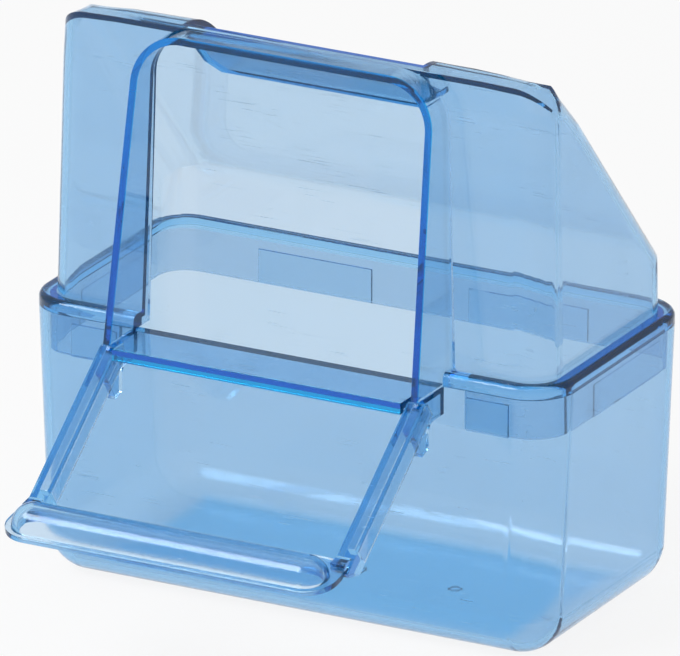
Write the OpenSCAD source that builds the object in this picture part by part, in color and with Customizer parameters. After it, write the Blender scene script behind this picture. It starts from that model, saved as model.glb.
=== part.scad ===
// Clear plastic seed cup with a hood and a perch, for the outside of a bird cage.
// X runs along the cup, Y from front to back, Z up; the origin is the middle of the tub's underside.

/* [Tub] */
// Length of the rim
rim_l = 140; // [120:1:160]
// Depth of the rim
rim_w = 70.6; // [64:0.2:80]
// Height of the rim
tub_h = 66; // [55:1:80]
// Wall thickness of the tub
tub_wall = 1.8; // [1.4:0.1:2.2]
// Radius of the upright corners and of the edge between the walls and the underside
corner_r = 11.2; // [8:0.1:12]
// How far each end leans in from the rim down to the base
end_lean = 2.7; // [1:0.1:4]

/* [Sill and hooks] */
// How far the sill stands out from the tub
sill_d = 14.7; // [13:0.1:17]
// Thickness of the sill
sill_t = 1.8; // [1.4:0.1:2.2]
// Height of the rib under the sill's front edge
sill_rib_h = 2.8; // [2:0.1:4]
// Distance from the middle of the cup to the middle of each side plate
plate_x = 40.4; // [38:0.1:42]
// Thickness of a side plate
plate_t = 2.4; // [2:0.1:3]
// Height of a side plate where it meets the tub
plate_h = 6.7; // [5.5:0.1:8]
// Clear width between the tub and a hook prong
hook_gap = 7.4; // [6:0.1:8]
// Length of a hook prong below the side plate
prong_l = 7.3; // [5:0.1:9]
// Width of a hook prong from front to back at its root
prong_w = 6.4; // [5:0.1:7]
// Radius between the side plate and the prong
prong_r = 2.6; // [1.5:0.1:3]

/* [Perch] */
// Downward slope of the perch arms
arm_slope = 37.4; // [30:0.1:45]
// Length of an arm along its top edge
arm_l = 48.9; // [35:0.1:55]
// Depth of an arm
arm_d = 5.5; // [4.5:0.1:7]
// Width of an arm
arm_w = 4.6; // [4:0.1:5]
// Length of the tongue that an arm is pushed on to
tongue_l = 8.4; // [6:0.1:12]
// Thickness of the tongue
tongue_t = 1.8; // [1.4:0.1:2]
// Half of the bar's length
bar_half = 43; // [42.7:0.1:50]
// Width of the bar from back to front
bar_w = 16.3; // [15:0.1:18]
// Forward tilt of the bar
bar_tilt = 10; // [4:1:20]
// Radius of the bar's ends in plan
bar_end_r = 7.3; // [6:0.1:7.4]
// Radius of the rounded ridge along the bar
ridge_r = 5.4; // [4:0.1:5.6]
// Thickness of the perch's walls
perch_wall = 1.4; // [1.1:0.1:1.6]
// How far the arms reach over the bar's rear edge
bar_lap = 3.6; // [3:0.1:4]
// Height of the arms' ends on top of the bar
arm_end_h = 0.9; // [0.5:0.1:1.2]
// How far the rounded ridge stands back from the bar's front edge
ridge_front = 1; // [0.5:0.1:1.5]
// Width and depth of each fine groove on the bar
groove = 0.45; // [0.3:0.05:0.6]
// Distance from the bar's rear edge to the first groove
groove_at = 1.6; // [1.2:0.1:2]
// Distance from one groove to the next
groove_step = 1.1; // [0.9:0.1:1.3]

/* [Hood] */
// Wall thickness of the hood
hood_wall = 1.6; // [1.2:0.1:2]
// Height of the roof above the tub's underside
roof_z = 140.2; // [130:0.2:150]
// How far each end of the hood stands in from the rim, at its foot
end_in = 3.8; // [3:0.1:6]
// How far each end leans in from the foot up to the roof
hood_lean = 1.5; // [0.2:0.1:3]
// How far the front wall stands in from the rim, at its foot
front_in = 4; // [2.8:0.1:6]
// How far the front wall leans back up to the roof
front_lean = 1.3; // [0:0.1:3]
// How far the back wall stands in from the rim
back_in = 3.3; // [2.8:0.1:6]
// Slope of the back of the roof, from level
back_slope = 48.7; // [42:0.1:54]
// How far behind the front wall the roof turns down
turn_back = 6.3; // [4:0.1:9]
// Radius of the turn along the ridge
turn_r = 15; // [9:0.5:18]
// Radius of the hood's other rounded edges
edge_r = 8.5; // [7:0.1:8.8]
// Height of the flange that stands on the tub's rim
flange_h = 3.2; // [2.4:0.1:4]
// Radius of the flange's outer edge
flange_r = 1.6; // [0.8:0.1:2]
// How far the skirt reaches down into the tub
skirt_h = 10.3; // [8:0.1:13]
// Thickness of the skirt
skirt_t = 1.5; // [1.2:0.1:1.8]
// Gap between the skirt and the inside of the tub at the rim
skirt_gap = 0.8; // [0.7:0.1:1]
// Half of the stretch at the porch that has no skirt
skirt_from_x = 46.1; // [45:0.1:50]

/* [Locating pads on the skirt] */
// Thickness of the front and back pads
pad_t = 0.6; // [0.3:0.1:0.6]
// Thickness of the end pads
end_pad_t = 0.25; // [0.1:0.05:0.3]
// Height of every pad
pad_h = 8; // [6:0.1:9]
// Start and end of a front pad, from the middle
front_pad_x = [46.7, 57.6]; // [46.5:0.1:58]
// Start and end of a back pad, from the middle
back_pad_x = [13.1, 43.4]; // [10:0.1:58]
// Start and end of an end pad, along Y
end_pad_y = [-12, 21.5]; // [-23:0.5:23]

/* [Porch] */
// Wall thickness of the porch
porch_wall = 1.7; // [1.3:0.1:2]
// Half of the porch's width at its foot, to the middle of its wall
porch_half = 40.5; // [38:0.1:42]
// How much narrower each side is at the top
porch_taper = 2.2; // [0:0.1:3]
// Radius of the arch's upper corners, outside
arch_r = 12.3; // [10:0.1:15]
// How far the porch's edge stands back from the sill's edge, at its foot
porch_back = 2; // [0:0.1:4]
// How far the porch's edge stands out from the front wall's foot, at the top
porch_top_out = 4.9; // [3:0.1:11]

/* [Finger notch behind the ridge] */
// Half of the notch's width at the roof
notch_half = 31; // [25:0.1:33]
// How much each side of the notch closes in down to the ledge
notch_taper = 2.6; // [0:0.1:5]
// Height of the notch's ledge
ledge_z = 127.8; // [122:0.1:130]
// How far behind the front wall's foot the notch starts on the roof
notch_top_back = 5.3; // [4:0.1:8]
// How far behind the front wall's foot the notch's front face meets the ledge
notch_low_back = 15.6; // [12:0.1:19]
// Size of the slanted lower corners
notch_corner = [3.4, 2.9]; // [2:0.1:5]

/* [Hidden] */
$fn = 64;
// How far a cutting shape runs past the surface that it cuts
past = 5;
// Half of a box that is larger than the whole cup
far = 2 * rim_l;
// How far a joined piece runs into the wall that it stands on
root = 0.9;
// Clearance on each side of a tongue in its arm, and at the arm's end
slide_gap = 0.15;
// How far a rounding stands proud of the faces that it runs into, so that they cross cleanly
proud = 0.01;

// Half of the hood's length at its foot
hood_half = rim_l / 2 - end_in;
// Distance from the middle to the front wall at its foot
front_y = rim_w / 2 - front_in;
// Distance from the middle to the back wall
back_y = rim_w / 2 - back_in;
// Where the roof turns down, in front of the middle
turn_y = front_y - turn_back;
// Distance from the middle to the porch's edge at its foot and at the top
porch_y = rim_w / 2 + sill_d - porch_back;
porch_top_y = front_y + porch_top_out;
// Where the notch starts on the roof and meets the ledge, in front of the middle
notch_top_y = front_y - notch_top_back;
notch_low_y = front_y - notch_low_back;
// How far the hood's ends and its front wall lean, as angles
end_tilt = atan(hood_lean / (roof_z - tub_h));
front_tilt = atan(front_lean / (roof_z - tub_h));

// Clear blue plastic
clear_blue = [0.35, 0.62, 0.90, 0.55];

// Prism along X, from an outline drawn in Y and Z
module along_x(half) {
    translate([-half, 0, 0])
        rotate([90, 0, 90])
            linear_extrude(2 * half) children();
}

// Prism along Y, from an outline drawn in X and Z
module along_y(half) {
    translate([0, half, 0])
        rotate([90, 0, 0])
            linear_extrude(2 * half) children();
}

// Outline whose corners are rounded by discs set at the given places
module rounded(points, discs, r) {
    polygon(points);
    for (c = discs)
        translate(c) circle(r);
}

// A child and its mirror image on the other side of the cup
module both_sides() {
    for (s = [0, 1])
        mirror([s, 0, 0]) children();
}

// Rectangle with four rounded corners, centred, by its half sizes
module plate_outline(hx, hy, r) {
    rounded([[-hx + r, -hy], [hx - r, -hy], [hx, -hy + r], [hx, hy - r],
             [hx - r, hy], [-hx + r, hy], [-hx, hy - r], [-hx, -hy + r]],
            [for (sx = [-1, 1], sy = [-1, 1]) [sx * (hx - r), sy * (hy - r)]], r);
}

// The tub's solid form, drawn in by g from the outer surface
module tub_form(g) {
    lean = atan(end_lean / tub_h);
    hx = rim_l / 2 - g / cos(lean);
    hy = rim_w / 2 - g;
    r = corner_r - g;
    foot = hx - end_lean;
    top = 2 * tub_h;
    // the end wall stays a tangent of the rounding below it
    ball_x = foot + corner_r * tan(lean) - r / cos(lean);
    ball_y = hy - r;
    rod_x = ball_x + proud;
    edge = [rod_x + r * cos(lean), corner_r - r * sin(lean)];
    difference() {
        intersection() {
            along_x(far)
                rounded([[-ball_y, g], [ball_y, g], [hy, corner_r], [hy, top], [-hy, top], [-hy, corner_r]],
                        [[-ball_y, corner_r], [ball_y, corner_r]], r);
            both_ends_meet()
                translate([foot, 0, 0])
                    rotate([0, lean, 0])
                        translate([0, 0, -tub_h])
                            linear_extrude(4 * tub_h)
                                rounded([[-far, -hy], [-r, -hy], [0, -ball_y], [0, ball_y], [-r, hy], [-far, hy]],
                                        [[-r, -ball_y], [-r, ball_y]], r);
            both_ends_meet()
                along_y(far)
                    rounded([[-far, g], [rod_x, g], edge, [far, edge.y], [far, top], [-far, top]],
                            [[rod_x, corner_r]], r);
        }
        // the three roundings of a lower corner run into one ball
        for (sy = [0, 1])
            mirror([0, sy, 0])
                both_sides()
                    difference() {
                        intersection() {
                            translate([ball_x, ball_y, -far]) cube(2 * far);
                            translate([ball_x, 0, corner_r])
                                rotate([0, lean, 0])
                                    translate([-far, -far, -2 * far]) cube(2 * far);
                        }
                        translate([ball_x, ball_y, corner_r]) sphere(r + 3 * proud);
                    }
    }
}

// What a right-hand shape and its mirror image have in common
module both_ends_meet() {
    intersection() {
        children();
        mirror([1, 0, 0]) children();
    }
}

// Places on a perch arm: s along its top edge from the upper end, n square to it, upwards
arm_dir = [-cos(arm_slope), -sin(arm_slope)];
arm_up = [-sin(arm_slope), cos(arm_slope)];
arm_start = [-rim_w / 2 - sill_d + arm_d * 3 / 4, tub_h];
function on_arm(s, n) = arm_start + s * arm_dir + n * arm_up;

// Side view of the side plate and its hook prong
module hook_outline() {
    wall_y = -rim_w / 2;
    low = tub_h - plate_h;
    back = wall_y - hook_gap;
    front = back - prong_w;
    tip = low - prong_l;
    difference() {
        polygon([[wall_y + root, tub_h], arm_start + [slide_gap, 0], [front, low + prong_l / 3],
                 [front, low - prong_l / 4], [front + prong_w / 2, tip], [back, tip + prong_w / 6],
                 [back, low - prong_r], [back + prong_r, low], [wall_y + root, low]]);
        translate([back + prong_r, low - prong_r]) circle(prong_r);
    }
}

// Stretch of the arm's side view from s0 to s1 and from n0 to n1
module arm_outline(s0, s1, n0, n1) {
    polygon([on_arm(s0, n0), on_arm(s1, n0), on_arm(s1, n1), on_arm(s0, n1)]);
}

// Side plate under the sill's end: it turns down into the hook prong and carries the perch's tongue
module side_plate() {
    translate([plate_x, 0, 0]) {
        along_x(plate_t / 2)
            difference() {
                hook_outline();
                arm_outline(-slide_gap, far, -arm_d - slide_gap, far);
            }
        // inside the arm's channel the plate is as thin as the tongue
        along_x(tongue_t / 2) {
            difference() {
                hook_outline();
                arm_outline(-slide_gap, far, -perch_wall - slide_gap, far);
            }
            arm_outline(-arm_d / 4, tongue_l, -arm_d, -perch_wall - slide_gap);
        }
    }
}

// Sill with a rib under its front edge; its front corners are cut back for the perch's arms
module sill() {
    wall_y = -rim_w / 2;
    front = wall_y - sill_d;
    narrow = plate_x - arm_w / 2 - slide_gap;
    wide = plate_x - tongue_t / 2;
    // the arm's end leans back under the sill
    step = arm_start.x + sill_t * tan(arm_slope) + 2 * slide_gap;
    translate([0, 0, tub_h - sill_t])
        linear_extrude(sill_t)
            polygon([[-wide, wall_y + root], [-wide, step], [-narrow, step], [-narrow, front],
                     [narrow, front], [narrow, step], [wide, step], [wide, wall_y + root]]);
    along_x(narrow)
        translate([front, tub_h - sill_rib_h]) square([sill_t, sill_rib_h]);
}

module tub() color(clear_blue) {
    difference() {
        union() {
            difference() {
                tub_form(0);
                translate([-far, -far, tub_h]) cube([2 * far, 2 * far, far]);
            }
            sill();
            both_sides() side_plate();
        }
        tub_form(tub_wall);
    }
}

// The hood's solid form above the flange, drawn in by g from the outer surface.
// Every rounding keeps its centre line as g grows, so walls have one thickness all over.
module hood_form(g) {
    r = edge_r - g;
    low = tub_h - skirt_h - past;
    yc = back_y - edge_r;
    ridge = [-turn_y, roof_z - turn_r];
    out = [sin(back_slope), cos(back_slope)];
    start = ridge + (turn_r - edge_r) * out;
    bend = [yc, start.y - (yc - start.x) * tan(back_slope)];
    intersection() {
        // seen from the side: roof, turn, slope, bend and back wall
        along_x(far) {
            rounded([[-far, low], [back_y - g, low], [back_y - g, bend.y], bend + r * out,
                     ridge + (turn_r - g) * out, [-turn_y, roof_z - g], [-far, roof_z - g]], [bend], r);
            translate(ridge) circle(turn_r - g);
        }
        both_ends_meet()
            intersection() {
                leaning_end(g);
                front_corner(g);
                roof_edge(g);
                slope_edge(g, start);
            }
    }
}

// How far a point in the middle of the hood at height z lies from the leaning end
function to_end(z) = cos(end_tilt) * hood_half + sin(end_tilt) * (tub_h - z);

// Leaning end of the hood and its upright back corner
module leaning_end(g) {
    r = edge_r - g;
    yc = back_y - edge_r;
    translate([hood_half - g / cos(end_tilt), 0, tub_h])
        rotate([0, -end_tilt, 0])
            translate([0, 0, -far])
                linear_extrude(2 * far)
                    rounded([[-far, -far], [0, -far], [0, yc], [-r, yc + r], [-far, yc + r]], [[-r, yc]], r);
}

// Leaning front wall and its upright corner
module front_corner(g) {
    r = edge_r - g;
    translate([hood_half - g / cos(end_tilt), -front_y + g / cos(front_tilt), tub_h])
        rotate([-front_tilt, 0, 0])
            rotate([0, -atan(tan(end_tilt) * cos(front_tilt)), 0])
                translate([0, 0, -far])
                    linear_extrude(2 * far)
                        rounded([[-far, far], [-far, 0], [-r, 0], [0, r], [far, r], [far, far]], [[-r, r]], r);
}

// Rounding between the roof and the end
module roof_edge(g) {
    r = edge_r - g;
    zc = roof_z - edge_r;
    c = (to_end(zc) - edge_r) / cos(end_tilt);
    tangent = [c, zc] + r * [cos(end_tilt), sin(end_tilt)];
    along_y(far)
        rounded([[-far, -far], [far, -far], [far, tangent.y], tangent, [c, zc + r], [-far, zc + r]],
                [[c, zc]], r);
}

// Rounding between the slope and the end; start is a place on its centre line's height
module slope_edge(g, start) {
    r = edge_r - g;
    turn = atan(tan(end_tilt) * sin(back_slope));
    tilt = asin(sin(end_tilt) * cos(back_slope));
    c = (to_end(start.y) - edge_r) / cos(tilt);
    tangent = [c, 0] + r * [cos(tilt), sin(tilt)];
    translate([0, start.x, start.y])
        rotate([-back_slope, 0, 0])
            rotate([0, 0, -turn])
                along_y(far)
                    rounded([[-far, -far], [far, -far], [far, tangent.y], tangent, [c, r], [-far, r]],
                            [[c, 0]], r);
}

// Sweeps an outline round the tub's rim: x in the outline is the distance from the rim's outer edge
module round_rim() {
    cx = rim_l / 2 - corner_r;
    cy = rim_w / 2 - corner_r;
    for (sx = [0, 1], sy = [0, 1])
        mirror([sx, 0, 0]) mirror([0, sy, 0])
            translate([cx, cy, 0])
                rotate_extrude(angle = 90)
                    translate([corner_r, 0]) mirror([1, 0]) children();
    for (s = [0, 1]) {
        mirror([0, s, 0])
            along_x(cx)
                translate([rim_w / 2, 0]) mirror([1, 0]) children();
        mirror([s, 0, 0])
            along_y(cy)
                translate([rim_l / 2, 0]) mirror([1, 0]) children();
    }
}

// Flange that stands on the rim, and the skirt inside the tub
module flange() {
    skirt_at = tub_wall + skirt_gap;
    skirt_in = skirt_at + skirt_t;
    top = tub_h + flange_h;
    inner = corner_r - root;
    under = tub_h + hood_wall;
    round_rim()
        rounded([[0, tub_h], [0, top - flange_r], [flange_r, top], [inner, top], [inner, under],
                 [skirt_in, under], [skirt_in, tub_h - skirt_h], [skirt_at, tub_h - skirt_h], [skirt_at, tub_h]],
                [[flange_r, top - flange_r]], flange_r);
}

module pads() {
    at = tub_wall + skirt_gap;
    y = rim_w / 2 - at;
    x = rim_l / 2 - at;
    z = tub_h - skirt_h;
    both_sides() {
        translate([front_pad_x[0], -y - pad_t, z])
            cube([front_pad_x[1] - front_pad_x[0], pad_t + root, pad_h]);
        translate([back_pad_x[0], y - root, z])
            cube([back_pad_x[1] - back_pad_x[0], pad_t + root, pad_h]);
        translate([x - root, end_pad_y[0], z])
            cube([end_pad_t + root, end_pad_y[1] - end_pad_y[0], pad_h]);
    }
}

// Front view of the porch, drawn in by g: tapered sides, round corners, level lintel
module arch_outline(g, low) {
    taper = atan(porch_taper / (roof_z - tub_h));
    zc = roof_z - arch_r;
    r = arch_r - g;
    foot = porch_half + porch_wall / 2;
    cx = foot - (zc - tub_h) * tan(taper) - arch_r / cos(taper);
    edge = [cx + r * cos(taper), zc + r * sin(taper)];
    side = edge - (edge.y - low) * [-tan(taper), 1];
    rounded([[-side.x, low], side, edge, [cx, zc + r], [-cx, zc + r], [-edge.x, edge.y]],
            [[cx, zc], [-cx, zc]], r);
}

// Everything behind the porch's leaning edge
module porch_reach(back) {
    along_x(far)
        polygon([[-porch_y, tub_h], [back, tub_h], [back, roof_z], [-porch_top_y, roof_z]]);
}

// Solid that the finger notch takes away, grown by g on every side
module notch(g) {
    wide = notch_half + g;
    low = ledge_z - g;
    top = roof_z + past;
    side = wide - notch_taper;
    corner = [side - notch_corner.x, side];
    intersection() {
        along_x(far)
            polygon([[-notch_top_y - g, roof_z], [-notch_low_y - g, low], [far, low], [far, top],
                     [-notch_top_y - g, top]]);
        along_y(far)
            polygon([[-corner[0], low], [corner[0], low], [corner[1], low + notch_corner.y], [wide, roof_z],
                     [wide, top], [-wide, top], [-wide, roof_z], [-corner[1], low + notch_corner.y]]);
    }
}

module hood() color(clear_blue) {
    shell_from = tub_h + flange_h - root;
    difference() {
        union() {
            difference() {
                union() {
                    intersection() {
                        hood_form(0);
                        translate([-far, -far, shell_from]) cube(2 * far);
                    }
                    flange();
                    pads();
                }
                difference() {
                    hood_form(hood_wall);
                    notch(hood_wall);
                }
                notch(0);
                // the skirt and the band stop at the porch
                translate([-skirt_from_x, -far, tub_h - skirt_h - past])
                    cube([2 * skirt_from_x, far - front_y + edge_r, skirt_h + past]);
            }
            intersection() {
                porch_reach(-front_y + hood_wall + front_lean);
                along_y(far) arch_outline(0, tub_h);
            }
        }
        // the feeding opening runs through the porch and the front wall
        intersection() {
            translate([-far, -far - front_y + front_lean + hood_wall + root, 0]) cube([2 * far, far, far]);
            along_y(far) arch_outline(porch_wall, tub_h - past);
        }
    }
}

// Turns the bar's own axes (u forward and down, v up) into the cup's
module on_bar() {
    translate([0, on_arm(arm_l - bar_lap, 0).x, on_arm(arm_l - bar_lap, 0).y])
        rotate([bar_tilt, 0, 0]) children();
}

// Rounded ridge, a half round bar with ball ends, drawn in by g
module ridge_form(g) {
    r = ridge_r - g;
    half = bar_half - bar_end_r;
    translate([0, -bar_w + ridge_front + ridge_r, 0]) {
        rotate([0, 90, 0]) cylinder(h = 2 * half, r = r, center = true);
        both_sides() translate([half, 0, 0]) sphere(r);
    }
}

// One arm: a channel, open below, that slides over the tub's tongue
module arm() {
    cap_r = arm_d / 3;
    slot_end = arm_l - 2 * bar_lap;
    translate([plate_x, 0, 0])
        difference() {
            along_x(arm_w / 2) {
                polygon([on_arm(0, -cap_r), on_arm(cap_r, 0), on_arm(arm_l, 0), on_arm(arm_l, -perch_wall),
                         on_arm(arm_l - bar_lap, -arm_d), on_arm(0, -arm_d)]);
                translate(on_arm(cap_r, -cap_r)) circle(cap_r);
            }
            along_x(tongue_t / 2 + slide_gap)
                arm_outline(-past, slot_end, -arm_d - past, -perch_wall);
        }
}

module perch() color(clear_blue) {
    difference() {
        union() {
            on_bar() {
                translate([0, -bar_w / 2, -perch_wall])
                    linear_extrude(perch_wall) plate_outline(bar_half, bar_w / 2, bar_end_r);
                intersection() {
                    ridge_form(0);
                    translate([-far, -far, -perch_wall]) cube(2 * far);
                }
                // each arm's end lies on the bar
                both_sides()
                    translate([plate_x - arm_w * 2 / 5, -bar_lap, -perch_wall / 2])
                        cube([arm_w * 4 / 5, bar_lap, perch_wall / 2 + arm_end_h]);
            }
            both_sides() arm();
        }
        on_bar() {
            intersection() {
                ridge_form(perch_wall);
                translate([-far, -far, -perch_wall - past]) cube(2 * far);
            }
            // fine grooves for grip on the flat rear strip
            for (i = [0:2])
                translate([-bar_half * 3 / 4, -groove_at - i * groove_step - groove, -groove])
                    cube([bar_half * 3 / 2, groove, past]);
        }
    }
}

tub();
hood();
perch();
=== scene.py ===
"""Looks of a clear blue seed cup: tub, lift-off hood and push-on perch, on a pale studio floor."""

import math

import bmesh
import bpy
import numpy as np
from mathutils import Matrix, Vector


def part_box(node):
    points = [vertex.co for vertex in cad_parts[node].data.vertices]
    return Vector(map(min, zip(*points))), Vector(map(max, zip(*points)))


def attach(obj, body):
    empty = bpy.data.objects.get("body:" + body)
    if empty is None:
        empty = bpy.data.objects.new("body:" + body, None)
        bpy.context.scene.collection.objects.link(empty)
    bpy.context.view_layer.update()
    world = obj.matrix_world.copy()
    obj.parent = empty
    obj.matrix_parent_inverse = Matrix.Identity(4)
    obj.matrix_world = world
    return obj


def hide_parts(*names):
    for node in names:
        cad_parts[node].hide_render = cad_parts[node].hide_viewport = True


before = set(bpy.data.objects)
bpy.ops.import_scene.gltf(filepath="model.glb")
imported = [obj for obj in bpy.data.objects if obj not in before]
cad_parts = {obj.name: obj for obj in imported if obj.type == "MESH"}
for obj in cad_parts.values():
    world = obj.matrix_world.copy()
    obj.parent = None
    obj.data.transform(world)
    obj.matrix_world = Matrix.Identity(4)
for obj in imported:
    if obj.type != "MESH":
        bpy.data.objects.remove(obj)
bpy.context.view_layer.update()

bl_info = {
    "name": "Clear Seed Cup",
    "version": (1, 0, 0),
    "blender": (4, 5, 0),
    "location": "3D View > Sidebar > Seed Cup",
    "description": "Dresses a hooded seed cup in clear blue moulded plastic and sets up its studio",
    "category": "Object",
}

MM = 0.001

# The photograph's frame, in pixels, and the camera worked out from its straight edges
FRAME_W = 680
FOCAL_PX = 17792.0

# The camera's aim, in millimetres: a place on the cup's axis, and the shift from it to the right and upwards
AIM_Z = 60.0
AIM_RIGHT = -3.86
AIM_UP = 1.67

# Height of the tub's rim, where the hood stands
RIM_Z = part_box("tub")[1].z

# Places on the solids, in millimetres
FLOOR_TOP = 2.2
SILL_FRONT = -50.0
# The porch's leaning front face is the plane where LIP_Y * y - LIP_Z * z = LIP_AT
LIP_Y, LIP_Z, LIP_AT = 0.9876, 0.1571, -57.77
HOOD_CORNER = (60.3, -18.0, 138.5)

# How the hood's upper corners are eased, in millimetres: reach, move, and where strips are cut beside a corner
EASE_REACH = 18.0
EASE_MOVE = (-0.5, 0.0, -1.0)
SIDE_CUTS = (-12.0, -8.0, -4.0)
DEPTH_CUTS = (-6.0, -3.0, 0.0, 5.0, 10.0)

# Corners closer than this are one, and faces whose angle is below this are one
JOIN = 0.002 * MM
FLAT = math.radians(0.2)

# The perch is thinner than the tub and the hood, so its edges are rounded less, by this share
PERCH_EDGE = 0.6

# Colours that the plastic's skin lets through: where it is clean, rubbed dull, and scratched
CLEAN = (1.0, 0.945, 0.965, 1.0)
RUBBED = (0.93, 0.90, 0.93, 1.0)
SCRATCHED = (0.60, 0.67, 0.78, 1.0)

# Colours of the studio: its plain white, and the floor's own paint
WHITE = (1.0, 1.0, 1.0, 1.0)
FLOOR_PAINT = (0.86, 0.87, 0.88, 1.0)

# The key lamp, in metres
KEY_PLACE = (-0.48, -0.62, 0.83)
KEY_AIM = (0.0, -0.03, 0.04)
KEY_SIZE = (0.6, 0.42)


# ---- Sizes and colours that a user would change


class ClearPlasticSettings(bpy.types.PropertyGroup):
    """Colour and finish of the clear plastic."""

    tint: bpy.props.FloatVectorProperty(
        name="Tint",
        description="Colour of the light that a thick wall lets through",
        subtype="COLOR",
        size=3,
        min=0.0,
        max=1.0,
        default=(0.0, 0.62, 0.93),
    )
    depth: bpy.props.FloatProperty(
        name="Depth of colour",
        description="How fast the plastic takes up light, per metre of wall",
        default=240.0,
        min=0.0,
        max=2000.0,
    )
    ior: bpy.props.FloatProperty(
        name="Refractive index",
        description="How much the plastic bends light",
        default=1.5,
        min=1.3,
        max=1.8,
    )
    polish: bpy.props.FloatProperty(
        name="Roughness",
        description="Roughness of the plastic where nothing has rubbed it",
        default=0.015,
        min=0.0,
        max=0.5,
        subtype="FACTOR",
    )
    # Painted shade: the tub's floor gets a deeper blue in its colour, standing in for the tinted shadow beneath it
    # and the light that crosses the floor twice; the plastic itself is one colour
    painted_floor_shade: bpy.props.FloatVectorProperty(
        name="Floor tint",
        description="Further colour of the tub's thick floor",
        subtype="COLOR",
        size=3,
        min=0.0,
        max=1.0,
        default=(0.46, 0.80, 1.0),
    )
    # Painted shade: the porch's and the sill's front faces get a deeper blue in their colour, standing in for the
    # darker look of the wall seen edge on through them
    painted_lip_shade: bpy.props.FloatVectorProperty(
        name="Lip tint",
        description="Further colour of the porch's and the sill's front faces, behind which the wall stands edge on",
        subtype="COLOR",
        size=3,
        min=0.0,
        max=1.0,
        default=(0.0, 0.56, 0.90),
    )
    haze: bpy.props.FloatProperty(
        name="Haze",
        description="Share of the light that a surface scatters",
        default=0.055,
        min=0.0,
        max=1.0,
        subtype="FACTOR",
    )
    haze_tint: bpy.props.FloatVectorProperty(
        name="Haze tint",
        description="Colour of the scattered light, which shows in edges and roundings",
        subtype="COLOR",
        size=3,
        min=0.0,
        max=1.0,
        default=(0.0, 0.48, 0.92),
    )
    scuffs: bpy.props.FloatProperty(
        name="Scuffs",
        description="How strongly rubbed patches and hairline scratches show",
        default=1.8,
        min=0.0,
        max=3.0,
    )
    edge: bpy.props.FloatProperty(
        name="Edge radius",
        description="Rounding that the mould leaves on crisp edges",
        default=0.22 * MM,
        min=0.0,
        max=1.0 * MM,
        unit="LENGTH",
        precision=5,
    )
    air: bpy.props.FloatProperty(
        name="Air under the hood",
        description="Hair of air between the hood's foot and the tub's rim",
        default=0.06 * MM,
        min=0.0,
        max=0.3 * MM,
        unit="LENGTH",
        precision=5,
    )


class StudioSettings(bpy.types.PropertyGroup):
    """Floor, light and camera."""

    floor_size: bpy.props.FloatProperty(
        name="Floor size", description="Length of the floor's sides", default=60.0, min=1.0, unit="LENGTH"
    )
    floor_white: bpy.props.FloatProperty(
        name="Floor white",
        description="Share of the floor's own plain white, beside its lit white",
        default=0.88,
        min=0.0,
        max=1.0,
        subtype="FACTOR",
    )
    floor_through: bpy.props.FloatProperty(
        name="Floor white through plastic",
        description="The same share where the floor is seen through the cup, so that it keeps the tinted shadow",
        default=0.0,
        min=0.0,
        max=1.0,
        subtype="FACTOR",
    )
    mirrored: bpy.props.FloatProperty(
        name="White in reflections",
        description="Share of the plain white background that the gloss mirrors, beside the fill light",
        default=0.2,
        min=0.0,
        max=1.0,
        subtype="FACTOR",
    )
    fill: bpy.props.FloatProperty(
        name="Fill light", description="Strength of the even light from all sides", default=0.5, min=0.0, max=2.0
    )
    key: bpy.props.FloatProperty(
        name="Key light", description="Power of the large lamp above the front left", default=6.0, min=0.0, max=500.0
    )
    azimuth: bpy.props.FloatProperty(
        name="Camera azimuth",
        description="Angle round the cup from its front, towards its right",
        default=math.radians(27.95),
        subtype="ANGLE",
    )
    elevation: bpy.props.FloatProperty(
        name="Camera elevation",
        description="Angle above the floor",
        default=math.radians(20.2),
        subtype="ANGLE",
    )
    roll: bpy.props.FloatProperty(
        name="Camera roll", description="Turn about the line of sight", default=math.radians(0.15), subtype="ANGLE"
    )
    distance: bpy.props.FloatProperty(
        name="Camera distance", description="From the aim to the lens", default=4.1667, min=0.5, unit="LENGTH"
    )


# ---- Shader expressions


class Wire:
    """One socket of a node tree. Sums and products of wires add their Math nodes."""

    def __init__(self, tree, socket):
        self.tree = tree
        self.socket = socket

    def maths(self, kind, *others):
        return self.tree.add("ShaderNodeMath", {"operation": kind}, self, *others)

    def __add__(self, other):
        return self.maths("ADD", other)

    __radd__ = __add__

    def __mul__(self, other):
        return self.maths("MULTIPLY", other)

    __rmul__ = __mul__

    def __sub__(self, other):
        return self.maths("SUBTRACT", other)

    def __rsub__(self, other):
        return self.tree.add("ShaderNodeMath", {"operation": "SUBTRACT"}, other, self)

    def __pow__(self, other):
        return self.maths("POWER", other)

    def above(self, low, high):
        """0 below low, 1 above high, smooth between them."""
        step = {"interpolation_type": "SMOOTHSTEP"}
        return self.tree.add("ShaderNodeMapRange", step, self, low, high, 0.0, 1.0)

    def below(self, low, high):
        """1 below low, 0 above high, smooth between them."""
        return 1.0 - self.above(low, high)

    def both(self, other):
        return self.maths("MINIMUM", other)

    def either(self, other):
        return self.maths("MAXIMUM", other)


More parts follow.
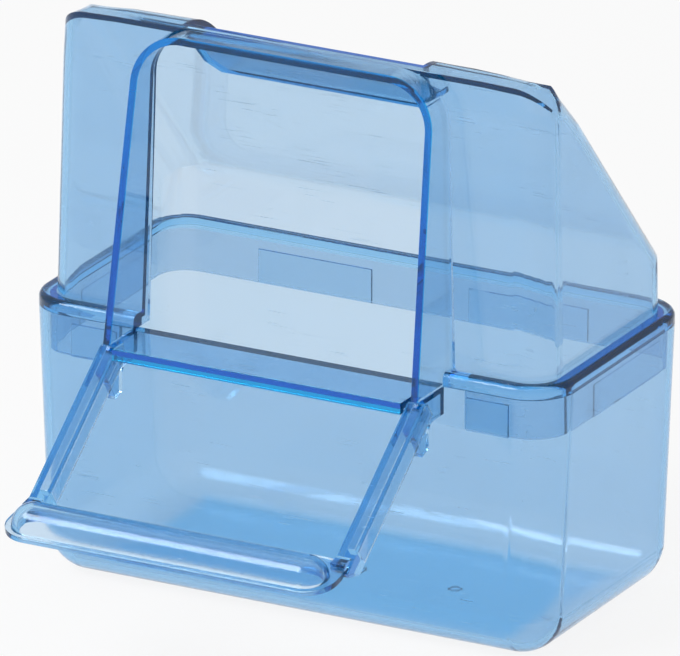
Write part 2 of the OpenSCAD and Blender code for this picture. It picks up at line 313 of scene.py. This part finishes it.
class Tree:
    """Node tree that is written as expressions on wires."""

    def __init__(self, owner):
        owner.use_nodes = True
        self.nodes = owner.node_tree.nodes
        self.links = owner.node_tree.links
        self.nodes.clear()

    def make(self, kind, settings=None, values=()):
        """A node of that kind: settings first, then the values or wires of its sockets, by place or by name."""
        node = self.nodes.new(kind)
        for key, value in (settings or {}).items():
            setattr(node, key, value)
        pairs = values.items() if isinstance(values, dict) else enumerate(values)
        for key, value in pairs:
            if value is None:
                continue
            if isinstance(value, Wire):
                self.links.new(value.socket, node.inputs[key])
            else:
                node.inputs[key].default_value = value
        return node

    def add(self, kind, settings=None, *values, out=0, **named):
        """The wire of one output of a new node."""
        node = self.make(kind, settings, named or values)
        return Wire(self, node.outputs[out])

    def place(self, scale=(1.0, 1.0, 1.0), centre=(0.0, 0.0, 0.0), turn=(0.0, 0.0, 0.0)):
        """Object coordinates in millimetres, scaled about a centre."""
        coords = self.add("ShaderNodeTexCoord", out="Object")
        mapping = {"vector_type": "POINT"}
        moved = [-c * s / MM for c, s in zip(centre, scale)]
        return self.add("ShaderNodeMapping", mapping, coords, moved, turn, [s / MM for s in scale])

    def noise(self, place, scale=1.0, detail=3.0, rough=0.5):
        values = {"Vector": place, "Scale": scale, "Detail": detail, "Roughness": rough}
        node = self.make("ShaderNodeTexNoise", {"noise_dimensions": "3D"}, values)
        return Wire(self, node.outputs[0])

    def apart(self, place):
        """The X, Y and Z of a vector."""
        node = self.make("ShaderNodeSeparateXYZ", None, [place])
        return [Wire(self, s) for s in node.outputs]

    def length(self, place):
        node = self.make("ShaderNodeVectorMath", {"operation": "LENGTH"}, [place])
        return Wire(self, node.outputs["Value"])

    def mix(self, share, a, b):
        """Colour between a and b."""
        node = self.make("ShaderNodeMix", {"data_type": "RGBA"})
        for name, value in (("Factor", share), ("A", a), ("B", b)):
            socket = next(s for s in node.inputs if s.name == name and s.enabled)
            if isinstance(value, Wire):
                self.links.new(value.socket, socket)
            else:
                socket.default_value = value
        return Wire(self, next(s for s in node.outputs if s.enabled))


# ---- Materials


def hairlines(tree, along, across, turn, low):
    """Fine scratches: noise drawn out along one way, kept where it peaks."""
    place = tree.place(scale=(along, across, across), turn=turn)
    return tree.noise(place, detail=2.0).above(low, low + 0.05)


def clear_plastic(name, settings, worn, marks=None, painted_shades=()):
    """Clear blue moulded plastic: tinted through its thickness, with hairline scratches, rubbed patches and
    the slight waviness of a moulded wall. worn(tree) gives a mask of where it has been rubbed, marks(tree)
    a height in millimetres, and the last argument lists masks of faces that get a painted shade, a deeper tint each."""
    material = bpy.data.materials.new(name)
    tree = Tree(material)
    place = tree.place()
    cloud = tree.noise(place, scale=0.06, detail=4.0, rough=0.6)
    patches = cloud.above(0.52, 0.72)
    fine = tree.noise(place, scale=2.2, detail=5.0, rough=0.65)
    scratches = hairlines(tree, 0.05, 2.4, (0.0, 0.5, 0.3), 0.68)
    scratches = scratches.either(hairlines(tree, 0.07, 2.9, (0.2, -0.7, 1.1), 0.70)) * cloud.above(0.45, 0.65)
    rubbed = (patches * fine.above(0.4, 0.7)).either(worn(tree) * fine.above(0.35, 0.65))
    rough = settings.polish + settings.scuffs * (rubbed * 0.10 + scratches * 0.22)
    wave = tree.noise(place, scale=0.035, detail=1.0) * 0.05
    height = wave - scratches * (0.004 * settings.scuffs) - rubbed * fine * (0.002 * settings.scuffs)
    if marks:
        height = height + marks(tree)
    bump = tree.add("ShaderNodeBump", None, **{"Strength": 1.0, "Distance": MM, "Height": height})
    base = tree.mix(rubbed, CLEAN, RUBBED)
    base = tree.mix(scratches, base, SCRATCHED)
    # Painted shade: the listed faces get a deeper tint in their colour
    for place_of, tint in painted_shades:
        base = tree.mix(place_of(tree), base, (*tint, 1.0))
    shader = tree.add(
        "ShaderNodeBsdfPrincipled",
        None,
        **{
            "Base Color": base,
            "Roughness": rough,
            "IOR": settings.ior,
            "Transmission Weight": 1.0,
            "Normal": bump,
        },
    )
    haze = tree.add("ShaderNodeBsdfDiffuse", None, (*settings.haze_tint, 1.0), 0.0)
    shader = tree.add("ShaderNodeMixShader", None, settings.haze, shader, haze)
    taken = tree.add("ShaderNodeVolumeAbsorption", None, (*settings.tint, 1.0), settings.depth)
    tree.make("ShaderNodeOutputMaterial", None, {"Surface": shader, "Volume": taken})
    return material


def near(tree, centre, radius, soft):
    """1 within radius of a place, 0 beyond radius + soft; in millimetres."""
    return tree.length(tree.place(centre=[c * MM for c in centre])).below(radius, radius + soft)


def tub_wear(tree):
    """The tub's underside and lower edges, which stand and slide on things."""
    _, _, z = tree.apart(tree.place())
    return z.below(0.5, 4.0)


def floor_shade_place(tree):
    """Where shade is painted on the tub: its flat floor, inside its lower roundings."""
    x, y, z = tree.apart(tree.place())
    inside = (x * x).below(50.0**2, 56.0**2).both((y * y).below(22.0**2, 28.0**2))
    return inside.both(z.below(FLOOR_TOP, FLOOR_TOP + 1.0))


def sill_front_shade_place(tree):
    """Where shade is painted: the sill's front face."""
    _, y, z = tree.apart(tree.place())
    return y.below(SILL_FRONT + 0.3, SILL_FRONT + 0.6).both(z.above(61.5, 62.0))


def porch_lip_shade_place(tree):
    """Where shade is painted: the porch's leaning front face."""
    _, y, z = tree.apart(tree.place())
    return (y * LIP_Y - z * LIP_Z).below(LIP_AT + 0.27, LIP_AT + 0.67)


def gate_marks(tree):
    """Two small rings on the tub's floor, where the mould was filled and pushed the tub out."""
    rings = 0.0
    for centre, radius in (((0.0, 0.0), 2.6), ((26.8, 0.0), 1.3)):
        x, y, z = tree.apart(tree.place(centre=(centre[0] * MM, centre[1] * MM, 0.0)))
        away = (x * x + y * y) ** 0.5
        ring = away.above(radius - 0.5, radius - 0.1).both(away.below(radius + 0.1, radius + 0.5))
        rings = ring.both(z.below(FLOOR_TOP, FLOOR_TOP + 0.4)) * 0.12 + rings
    return rings


def hood_wear(tree):
    """The roof's turn and the finger notch, where hands take hold."""
    return near(tree, (0.0, -22.0, 136.0), 16.0, 26.0)


def perch_wear(tree):
    """The bar's ridge, where feet rub."""
    x, y, _ = tree.apart(tree.place())
    return y.below(-92.0, -86.0).both((x * x).below(500.0, 1300.0))


# ---- Meshes


def moulded_copy(node, name, lift_from=None, lift=0.0):
    """Clean copy of a solid's surface, as one closed skin. Corners that lie on one another are joined, and
    triangles that lie in one plane become one face. Where lift_from is given, the corners at
    that height are raised by lift."""
    form = bmesh.new()
    form.from_mesh(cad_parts[node].data)
    bmesh.ops.remove_doubles(form, verts=form.verts, dist=JOIN)
    bmesh.ops.dissolve_limit(form, angle_limit=FLAT, verts=form.verts, edges=form.edges)
    if lift_from is not None:
        for v in form.verts:
            if abs(v.co.z - lift_from) < 0.01 * MM:
                v.co.z += lift
    mesh = bpy.data.meshes.new(name)
    form.to_mesh(mesh)
    form.free()
    mesh.polygons.foreach_set("use_smooth", np.ones(len(mesh.polygons), bool))
    piece = bpy.data.objects.new(name, mesh)
    bpy.context.scene.collection.objects.link(piece)
    return piece


def ease_corners(piece, corner, reach, move):
    """Rounds the hood's two upper corners a little more: both skins are cut into strips there, and each point
    moves by move * (1 - (d / reach)^2)^2, where d is its distance from the corner. The left corner is the right
    one mirrored."""
    form = bmesh.new()
    form.from_mesh(piece.data)
    cuts = [(axis, corner[axis] + step * MM) for axis in (0, 2) for step in SIDE_CUTS]
    cuts += [(0, -at) for axis, at in cuts if axis == 0]
    cuts += [(1, corner[1] + step * MM) for step in DEPTH_CUTS]
    for axis, at in cuts:
        normal = [float(k == axis) for k in range(3)]
        whole = form.verts[:] + form.edges[:] + form.faces[:]
        bmesh.ops.bisect_plane(form, geom=whole, dist=0.001 * MM, plane_co=[n * at for n in normal], plane_no=normal)
    form.to_mesh(piece.data)
    form.free()
    mesh = piece.data
    points = np.empty(len(mesh.vertices) * 3)
    mesh.vertices.foreach_get("co", points)
    points = points.reshape(-1, 3)
    side = np.sign(points[:, :1])
    sides = np.hstack([side, side * side, side * side])
    away = np.linalg.norm((points - np.array(corner) * sides) / reach, axis=1)
    share = np.clip(1.0 - away**2, 0.0, 1.0)[:, None] ** 2
    points += share * (sides * np.array(move))
    mesh.vertices.foreach_set("co", points.ravel())
    mesh.update()


def soften(piece, radius):
    """Rounds the crisp edges, and keeps the flat faces flat to the light."""
    bevel = piece.modifiers.new("mould edge", "BEVEL")
    bevel.width = radius
    bevel.segments = 2
    bevel.limit_method = "ANGLE"
    bevel.angle_limit = math.radians(32.0)
    bevel.miter_outer = "MITER_ARC"
    bevel.use_clamp_overlap = True
    normals = piece.modifiers.new("flat faces", "WEIGHTED_NORMAL")
    normals.keep_sharp = True
    normals.weight = 70


def dress(piece, node, body, material):
    """Material, the solid that the piece stands for, and the body that it rides on."""
    piece.data.materials.clear()
    piece.data.materials.append(material)
    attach(piece, body)
    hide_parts(node)


class MakeTub(bpy.types.Operator):
    """Tub with its sill, side plates and hook prongs"""

    bl_idname = "seed_cup.make_tub"
    bl_label = "Tub"

    def execute(self, context):
        plastic = context.scene.cup_plastic
        # Painted shade on the tub's floor and on the sill's front face
        painted_shades = ((floor_shade_place, plastic.painted_floor_shade), (sill_front_shade_place, plastic.painted_lip_shade))
        plastic_for_tub = clear_plastic("clear blue tub", plastic, tub_wear, gate_marks, painted_shades)
        piece = moulded_copy("tub", "clear_tub")
        soften(piece, plastic.edge)
        dress(piece, "tub", "cup", plastic_for_tub)
        return {"FINISHED"}


class MakeHood(bpy.types.Operator):
    """Hood with its flange, skirt, pads, porch and finger notch"""

    bl_idname = "seed_cup.make_hood"
    bl_label = "Hood"

    def execute(self, context):
        plastic = context.scene.cup_plastic
        piece = moulded_copy("hood", "clear_hood", RIM_Z, plastic.air)
        ease_corners(piece, Vector(HOOD_CORNER) * MM, EASE_REACH * MM, [step * MM for step in EASE_MOVE])
        soften(piece, plastic.edge)
        # Painted shade on the porch's front face
        painted_shades = ((porch_lip_shade_place, plastic.painted_lip_shade),)
        plastic_for_hood = clear_plastic("clear blue hood", plastic, hood_wear, painted_shades=painted_shades)
        dress(piece, "hood", "cover", plastic_for_hood)
        return {"FINISHED"}


class MakePerch(bpy.types.Operator):
    """Perch with its arms, grooves and rounded ridge"""

    bl_idname = "seed_cup.make_perch"
    bl_label = "Perch"

    def execute(self, context):
        plastic = context.scene.cup_plastic
        piece = moulded_copy("perch", "clear_perch")
        soften(piece, plastic.edge * PERCH_EDGE)
        plastic_for_perch = clear_plastic("clear blue perch", plastic, perch_wear)
        dress(piece, "perch", "perch_bar", plastic_for_perch)
        return {"FINISHED"}


# ---- Studio


def seen_white(tree, lit, to_eye, mirrored, through):
    """Plain white for the given shares of what the eye sees straight, in a reflection and through clear
    plastic; lit for everything else."""
    path = tree.make("ShaderNodeLightPath")
    share = Wire(tree, path.outputs["Is Camera Ray"]) * to_eye
    share = share.either(Wire(tree, path.outputs["Is Glossy Ray"]) * mirrored)
    share = share.either(Wire(tree, path.outputs["Is Transmission Ray"]) * through)
    white = tree.add("ShaderNodeEmission", None, WHITE, 1.0)
    return tree.add("ShaderNodeMixShader", None, share, lit, white)


def plain_sheet(name, size, z):
    """Level square: x and y run over a two by two grid of corners, z is constant."""
    u, v = np.meshgrid([-size / 2, size / 2], [-size / 2, size / 2])
    corners = np.stack([u.ravel(), v.ravel(), np.full(4, z)], -1)
    mesh = bpy.data.meshes.new(name)
    mesh.from_pydata(corners.tolist(), [], [(0, 1, 3, 2)])
    sheet = bpy.data.objects.new(name, mesh)
    bpy.context.scene.collection.objects.link(sheet)
    return sheet


def lamp(name, place, aim, size, power):
    """Flat lamp at a place, turned towards its aim."""
    light = bpy.data.lights.new(name, "AREA")
    light.shape = "RECTANGLE"
    light.size, light.size_y = size
    light.energy = power
    thing = bpy.data.objects.new(name, light)
    thing.location = place
    thing.rotation_mode = "QUATERNION"
    thing.rotation_quaternion = (Vector(aim) - Vector(place)).to_track_quat("-Z", "Y")
    bpy.context.scene.collection.objects.link(thing)


class MakeStudio(bpy.types.Operator):
    """Pale floor, soft light and the camera"""

    bl_idname = "seed_cup.make_studio"
    bl_label = "Studio"

    def execute(self, context):
        studio = context.scene.cup_studio
        scene = context.scene
        floor = plain_sheet("floor", studio.floor_size, -0.2 * MM)
        material = bpy.data.materials.new("pale floor")
        tree = Tree(material)
        paint = tree.add("ShaderNodeBsdfDiffuse", None, FLOOR_PAINT, 0.0)
        white = studio.floor_white
        seen = seen_white(tree, paint, white, white, studio.floor_through)
        tree.make("ShaderNodeOutputMaterial", None, {"Surface": seen})
        floor.data.materials.append(material)

        world = bpy.data.worlds.new("studio")
        scene.world = world
        tree = Tree(world)
        even = tree.add("ShaderNodeBackground", None, WHITE, studio.fill)
        seen = seen_white(tree, even, 1.0, studio.mirrored, 1.0)
        tree.make("ShaderNodeOutputWorld", None, {"Surface": seen})

        lamp("key lamp", KEY_PLACE, KEY_AIM, KEY_SIZE, studio.key)

        camera = bpy.data.cameras.new("camera")
        camera.sensor_width = 36.0
        camera.lens = FOCAL_PX * camera.sensor_width / FRAME_W
        camera.clip_start, camera.clip_end = 0.05, 200.0
        a, e = studio.azimuth, studio.elevation
        right = Vector((math.cos(a), math.sin(a), 0.0))
        up = Vector((-math.sin(a) * math.sin(e), math.cos(a) * math.sin(e), math.cos(e)))
        back = right.cross(up)
        aim = Vector((0.0, 0.0, AIM_Z * MM)) + right * (AIM_RIGHT * MM) + up * (AIM_UP * MM)
        turned = Matrix.Rotation(studio.roll, 3, back)
        columns = [turned @ right, turned @ up, back]
        view = bpy.data.objects.new("camera", camera)
        view.rotation_mode = "QUATERNION"
        view.rotation_quaternion = Matrix(columns).transposed().to_quaternion()
        view.location = aim + back * studio.distance
        scene.collection.objects.link(view)
        scene.camera = view
        scene.view_settings.view_transform = "Standard"
        return {"FINISHED"}


class SeedCupPanel(bpy.types.Panel):
    """Lists the pieces and their settings"""

    bl_idname = "VIEW3D_PT_seed_cup"
    bl_label = "Seed Cup"
    bl_space_type = "VIEW_3D"
    bl_region_type = "UI"
    bl_category = "Seed Cup"

    def draw(self, context):
        layout = self.layout
        for step in STEPS:
            layout.operator(step.bl_idname)
        for group in (context.scene.cup_plastic, context.scene.cup_studio):
            box = layout.box()
            for name in group.__annotations__:
                box.prop(group, name)


STEPS = (MakeTub, MakeHood, MakePerch, MakeStudio)
CLASSES = (ClearPlasticSettings, StudioSettings, *STEPS, SeedCupPanel)


def register():
    for cls in CLASSES:
        bpy.utils.register_class(cls)
    bpy.types.Scene.cup_plastic = bpy.props.PointerProperty(type=ClearPlasticSettings)
    bpy.types.Scene.cup_studio = bpy.props.PointerProperty(type=StudioSettings)


def unregister():
    del bpy.types.Scene.cup_studio
    del bpy.types.Scene.cup_plastic
    for cls in reversed(CLASSES):
        bpy.utils.unregister_class(cls)


def main():
    register()
    for step in STEPS:
        group, name = step.bl_idname.split(".")
        getattr(getattr(bpy.ops, group), name)()


if __name__ == "__main__":
    main()
